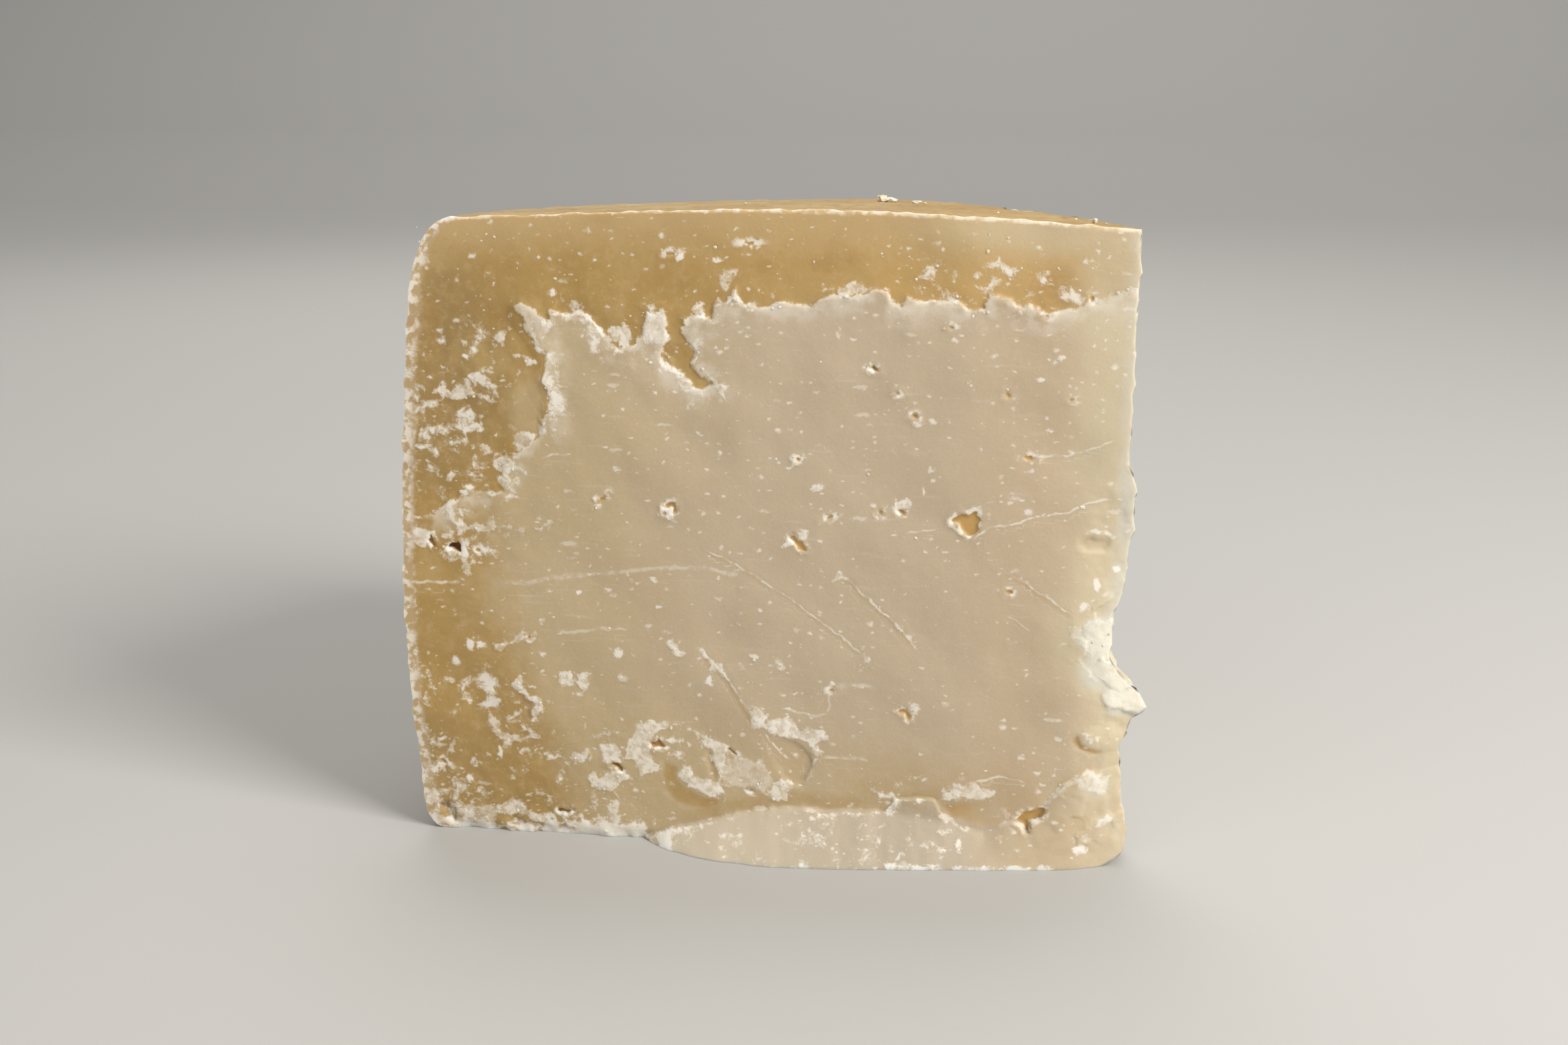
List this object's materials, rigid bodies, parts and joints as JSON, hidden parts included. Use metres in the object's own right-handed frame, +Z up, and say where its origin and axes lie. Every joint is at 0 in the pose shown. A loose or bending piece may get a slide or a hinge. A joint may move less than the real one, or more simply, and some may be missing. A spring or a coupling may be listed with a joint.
{
  "type": "pecorino chunk",
  "caption": "Wedge of hard pecorino cheese cut from a small wheel, with a rough cut face, a rounded rind side, a broken tip and a torn lip at the foot.",
  "frame": {"origin": "centre of the footprint, on the surface that the chunk stands on", "axes": "+Z up; -Y out of the cut face; -X towards the rind side; +X towards the broken tip"},
  "size_m": [0.1146, 0.0952, 0.1],
  "materials": {
    "paste": "waxy satin hard cheese, pale beige paste with an amber zone under the rind and white crumbly flake edges"
  },
  "bodies": {
    "root": {"chunk": "paste"}
  },
  "joints": []
}
